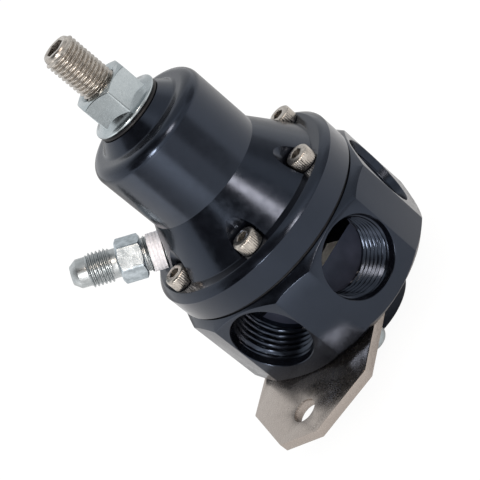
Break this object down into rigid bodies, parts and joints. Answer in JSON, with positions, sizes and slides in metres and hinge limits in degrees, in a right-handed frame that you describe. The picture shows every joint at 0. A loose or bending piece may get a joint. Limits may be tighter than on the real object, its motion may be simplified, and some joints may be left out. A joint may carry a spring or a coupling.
{
  "type": "fuel pressure regulator",
  "caption": "Adjustable bypass fuel pressure regulator with a bolted conical bonnet, ported block, return boss, pressure reference fitting and flat mounting bracket.",
  "frame": {"origin": "centre of the return port's mouth, on the lower face of the boss", "axes": "+Z along the diaphragm's axis towards the adjusting screw, -Y towards the bracket's tip"},
  "size_m": [0.0742, 0.0846, 0.1165],
  "materials": {
    "black_anodised": "black hard anodised, satin",
    "stainless": "machined, bright",
    "nickel_plate": "nickel plated, brushed",
    "zinc_plate": "zinc plated, bluish, semi-bright",
    "white_tape": "soft white sealing tape",
    "black_rubber": "smooth",
    "plain_steel": "oiled",
    "bare_aluminium": "turned",
    "seat_brass": "turned"
  },
  "bodies": {
    "housing": {"body": "black_anodised", "bonnet": "black_anodised", "cap_screws": "stainless", "bracket": "nickel_plate", "bracket_screws": "zinc_plate", "reference_fitting": "zinc_plate", "thread_tape": "white_tape", "diaphragm": "black_rubber", "main_spring": "plain_steel", "valve_seat": "seat_brass", "seat_o_ring": "black_rubber"},
    "spring_seat": {"spring_cap": "plain_steel"},
    "adjuster": {"adjusting_screw": "stainless"},
    "washer": {"seal_washer": "black_rubber"},
    "nut": {"lock_nut": "zinc_plate"},
    "valve": {"valve_stem": "bare_aluminium", "valve_face": "black_rubber", "lower_plate": "bare_aluminium", "upper_plate": "bare_aluminium", "stem_nut": "zinc_plate"}
  },
  "joints": [
    {"name": "cap_travel", "type": "slide", "parent": "housing", "child": "spring_seat", "axis": [0, 0, 1], "range_m": [-0.004, 0.002], "deforming": ["main_spring"]},
    {"name": "screw_turn", "type": "hinge", "parent": "spring_seat", "child": "adjuster", "pos_m": [0, 0, 0.0965], "axis": [0, 0, 1], "range_deg": [-1156, 580]},
    {"name": "washer_lift", "type": "slide", "parent": "housing", "child": "washer", "axis": [0, 0, 1], "range_m": [0, 0.006]},
    {"name": "nut_turn", "type": "hinge", "parent": "washer", "child": "nut", "pos_m": [0, 0, 0.097], "axis": [0, 0, 1], "range_deg": [0, 1732]},
    {"name": "valve_lift", "type": "slide", "parent": "housing", "child": "valve", "axis": [0, 0, 1], "range_m": [0, 0.0012], "stiffness_N_per_m": 500, "springref_m": -0.002, "deforming": ["diaphragm", "main_spring"]}
  ],
  "couplings": [
    {"joint": "screw_turn", "follows": "cap_travel", "rad_per_m": 5026.5},
    {"joint": "nut_turn", "follows": "washer_lift", "rad_per_m": 5026.5}
  ]
}
